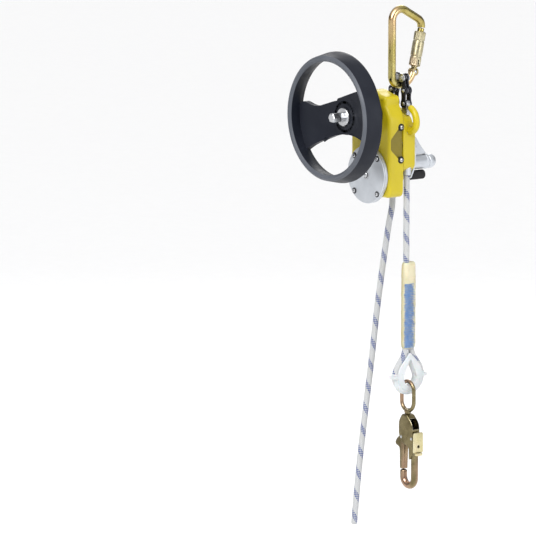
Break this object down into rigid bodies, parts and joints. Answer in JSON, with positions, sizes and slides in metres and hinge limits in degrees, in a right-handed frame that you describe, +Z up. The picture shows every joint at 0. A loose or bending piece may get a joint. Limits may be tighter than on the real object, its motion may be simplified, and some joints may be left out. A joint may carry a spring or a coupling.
{
  "type": "rope rescue and descent device",
  "caption": "Geared rope descender with hand wheel, centrifugal brake, chain, twist-lock carabiner, spliced lifeline and snap hook",
  "frame": {"origin": "inside of the carabiner top bow, where the anchor bears", "axes": "+Z up, the hand wheel faces -Y, the loaded rope hangs on the +X side"},
  "size_m": [0.2, 0.1939, 0.8119],
  "materials": {
    "gold_steel": "polished zinc with a yellow passivation",
    "satin_sleeve": "satin, knurled",
    "chain_steel": "blackened",
    "plain_steel": "satin",
    "yellow_paint": "satin powder coat",
    "cast_silver": "satin",
    "bronze": "plain",
    "black_plastic": "fine moulded grain",
    "black_rubber": "matt",
    "brake_lining": "matt",
    "white_rope": "braided kernmantle with navy tracers",
    "cream_sleeve": "translucent cover over a stitched splice",
    "milky_plastic": "milky",
    "hook_steel": "zinc with a bronze passivation"
  },
  "bodies": {
    "carabiner": {"carabiner_body": "gold_steel", "carabiner_hinge_pin": "plain_steel"},
    "gate": {"carabiner_gate": "gold_steel"},
    "sleeve": {"carabiner_sleeve": "satin_sleeve"},
    "casing": {"chain_link_1": "chain_steel", "chain_link_2": "chain_steel", "chain_link_3": "chain_steel", "chain_link_4": "chain_steel", "chain_link_5": "chain_steel", "anchor_plate": "plain_steel", "casing_front": "yellow_paint", "casing_rear": "yellow_paint", "mid_plate": "plain_steel", "side_screw_right_upper": "plain_steel", "side_screw_right_lower": "plain_steel", "side_screw_left_upper": "plain_steel", "side_screw_left_lower": "plain_steel", "neck_collar": "black_plastic", "wheel_bearing_front": "bronze", "wheel_bearing_rear": "bronze", "sheave_bearing_front": "bronze", "sheave_bearing_rear": "bronze", "brake_bearing": "bronze", "guide_roller_pin": "plain_steel", "brake_drum": "cast_silver", "brake_cover": "cast_silver", "brake_cover_cap": "cast_silver", "cover_screw_45": "plain_steel", "cover_screw_135": "plain_steel", "cover_screw_225": "plain_steel", "cover_screw_315": "plain_steel", "cleat_bracket": "cast_silver", "cleat_bollard": "cast_silver", "cleat_pin": "plain_steel", "rope_inside": "white_rope", "rope_load": "white_rope", "rope_tail": "white_rope", "rope_eye": "white_rope", "splice_sleeve": "cream_sleeve", "thimble": "milky_plastic", "load_exit_bush": "cast_silver", "tail_exit_bush": "cast_silver"},
    "wheel": {"hand_wheel": "black_plastic", "wheel_shaft": "plain_steel"},
    "sheave": {"sheave": "cast_silver", "sheave_shaft": "plain_steel", "sheave_gear": "plain_steel"},
    "roller": {"guide_roller": "plain_steel"},
    "brake_rotor": {"brake_shaft": "plain_steel", "brake_carrier": "plain_steel"},
    "shoe_1": {"brake_shoe_1": "brake_lining"},
    "shoe_2": {"brake_shoe_2": "brake_lining"},
    "shoe_3": {"brake_shoe_3": "brake_lining"},
    "cam": {"cleat_cam": "black_rubber"},
    "hook_eye": {"hook_swivel_eye": "hook_steel"},
    "hook": {"hook_body": "hook_steel", "hook_gate_rivet": "plain_steel", "hook_lock_rivet": "plain_steel"},
    "hook_gate": {"hook_gate": "hook_steel"},
    "hook_lock": {"hook_lock": "hook_steel"}
  },
  "joints": [
    {"name": "gate_hinge", "type": "hinge", "parent": "carabiner", "child": "gate", "pos_m": [0, 0.026, -0.091], "axis": [1, 0, 0], "range_deg": [0, 24], "stiffness_Nm_per_rad": 0.05},
    {"name": "sleeve_twist", "type": "hinge", "parent": "gate", "child": "sleeve", "pos_m": [0, 0.026, -0.091], "axis": [0, 0.2216, 0.9751], "range_deg": [0, 90], "stiffness_Nm_per_rad": 0.02},
    {"name": "casing_swing", "type": "hinge", "parent": "carabiner", "child": "casing", "pos_m": [0, 0, -0.109], "axis": [0, 1, 0], "range_deg": [-30, 30]},
    {"name": "sheave_spin", "type": "hinge", "parent": "casing", "child": "sheave", "pos_m": [-0.021, 0, -0.2], "axis": [0, 1, 0], "continuous": true},
    {"name": "wheel_spin", "type": "hinge", "parent": "casing", "child": "wheel", "pos_m": [-0.021, 0, -0.154], "axis": [0, 1, 0], "continuous": true},
    {"name": "brake_spin", "type": "hinge", "parent": "casing", "child": "brake_rotor", "pos_m": [-0.021, 0, -0.246], "axis": [0, 1, 0], "continuous": true},
    {"name": "roller_spin", "type": "hinge", "parent": "casing", "child": "roller", "pos_m": [-0.0295, 0, -0.258], "axis": [0, 1, 0], "continuous": true},
    {"name": "cam_hinge", "type": "hinge", "parent": "casing", "child": "cam", "pos_m": [0.005, 0.02, -0.2495], "axis": [0, 1, 0], "range_deg": [-50, 0], "stiffness_Nm_per_rad": 0.05},
    {"name": "hook_swing", "type": "hinge", "parent": "casing", "child": "hook_eye", "pos_m": [0.0167, 0.00475, -0.5816], "axis": [0, 1, 0], "range_deg": [-40, 40]},
    {"name": "hook_swivel", "type": "hinge", "parent": "hook_eye", "child": "hook", "pos_m": [0.0167, 0.00475, -0.63], "axis": [0, 0, 1], "continuous": true},
    {"name": "hook_gate_hinge", "type": "hinge", "parent": "hook", "child": "hook_gate", "pos_m": [0.0107, 0.00475, -0.654], "axis": [0, 1, 0], "range_deg": [-16.5, 0], "stiffness_Nm_per_rad": 0.05},
    {"name": "hook_lock_hinge", "type": "hinge", "parent": "hook", "child": "hook_lock", "pos_m": [0.0347, 0.00475, -0.654], "axis": [0, 1, 0], "range_deg": [-5, 0], "stiffness_Nm_per_rad": 0.05},
    {"name": "shoe_1_slide", "type": "slide", "parent": "brake_rotor", "child": "shoe_1", "axis": [0, 0, 1], "range_m": [0, 0.0011], "stiffness_N_per_m": 2000},
    {"name": "shoe_2_slide", "type": "slide", "parent": "brake_rotor", "child": "shoe_2", "axis": [-0.866, 0, -0.5], "range_m": [0, 0.0011], "stiffness_N_per_m": 2000},
    {"name": "shoe_3_slide", "type": "slide", "parent": "brake_rotor", "child": "shoe_3", "axis": [0.866, 0, -0.5], "range_m": [0, 0.0011], "stiffness_N_per_m": 2000}
  ],
  "couplings": [
    {"joint": "wheel_spin", "follows": "sheave_spin", "ratio": -2.8333},
    {"joint": "brake_spin", "follows": "sheave_spin", "ratio": -2.8333},
    {"joint": "roller_spin", "follows": "sheave_spin", "ratio": -2.9569}
  ]
}
